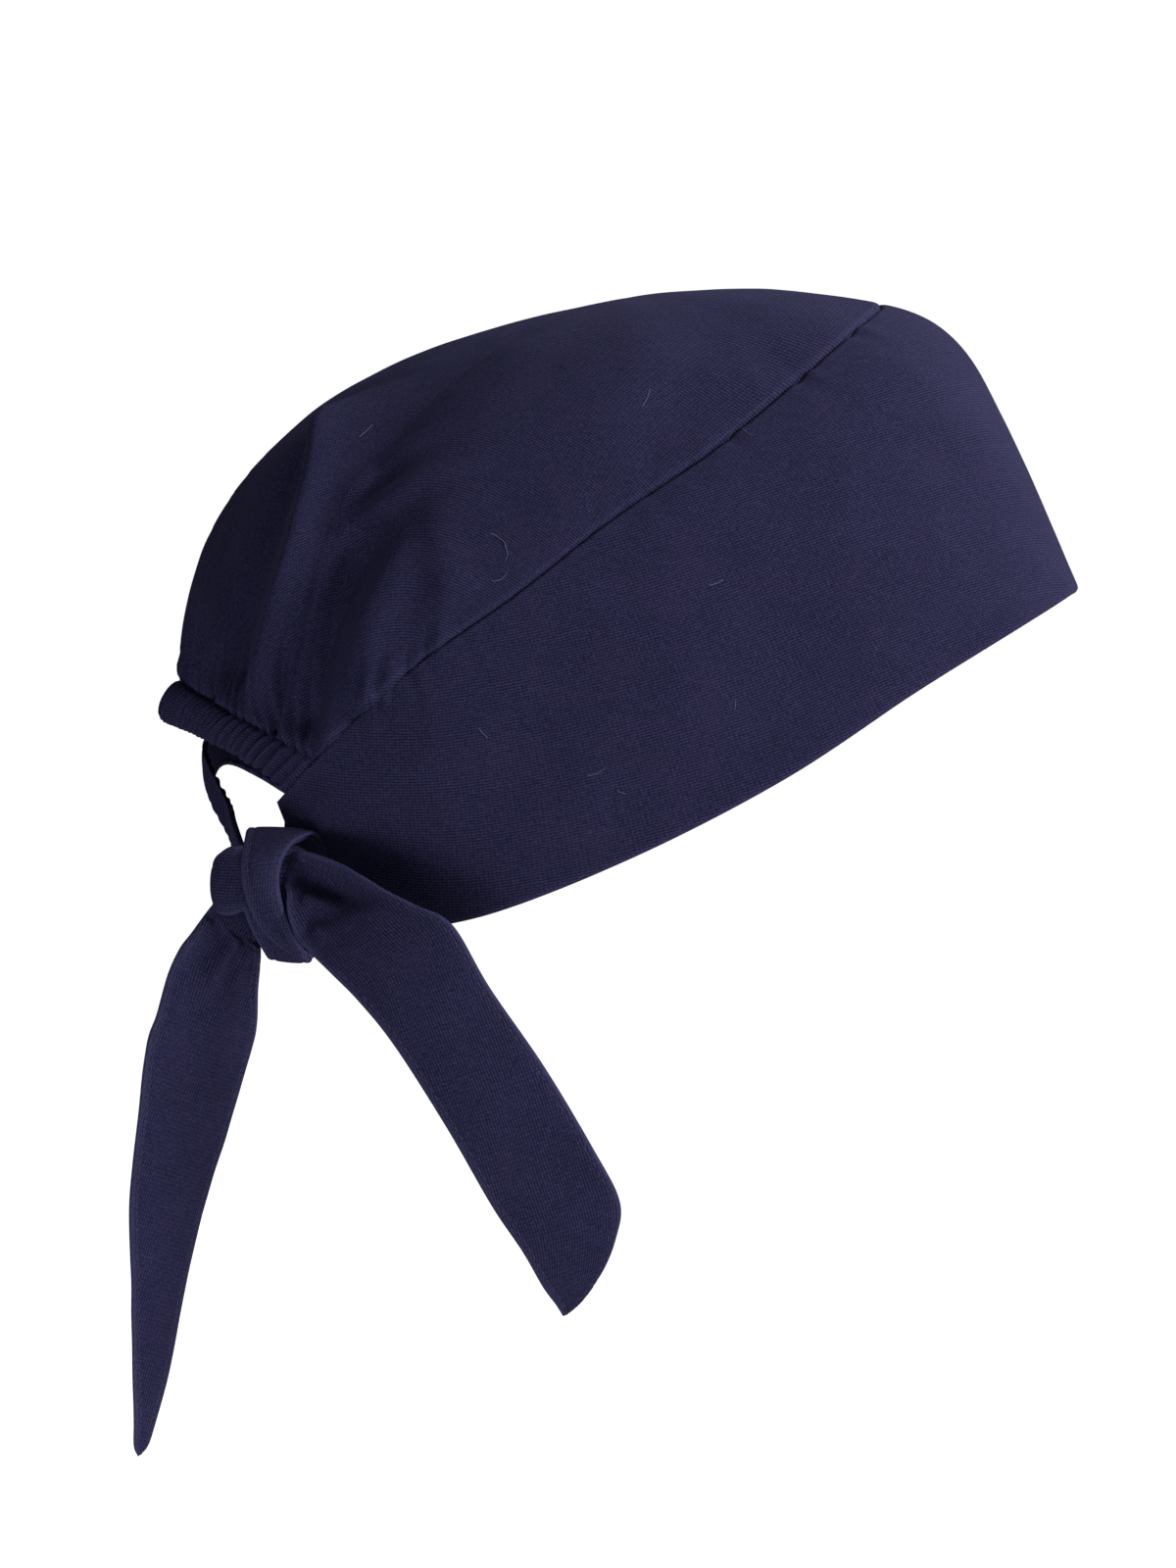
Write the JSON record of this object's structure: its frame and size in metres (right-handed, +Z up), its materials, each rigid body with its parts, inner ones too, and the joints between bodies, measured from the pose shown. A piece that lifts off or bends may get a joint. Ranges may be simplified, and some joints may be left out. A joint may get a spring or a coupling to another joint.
{
  "type": "scrub cap",
  "caption": "Tie-back cloth scrub cap in worn form: deep forehead band, gathered crown with a ruffled elastic back, and a knot with two hanging tie ends.",
  "frame": {"origin": "middle of the head opening, where the wearer's head goes in", "axes": "+X to the forehead, +Y to the wearer's left, +Z up towards the crown"},
  "size_m": [0.2365, 0.16, 0.2769],
  "materials": {
    "crown_cloth": "matt fine twill, navy",
    "band_cloth": "matt fine twill, navy, double layer",
    "casing_cloth": "matt fine twill, navy, gathered over elastic",
    "tie_cloth": "matt fine twill, navy, stitched double strap"
  },
  "bodies": {
    "root": {"crown": "crown_cloth", "headband": "band_cloth", "elastic_casing": "casing_cloth", "knot_bundle": "tie_cloth", "knot_wrap": "tie_cloth", "long_tie_end": "tie_cloth", "short_tie_end": "tie_cloth"}
  },
  "joints": []
}
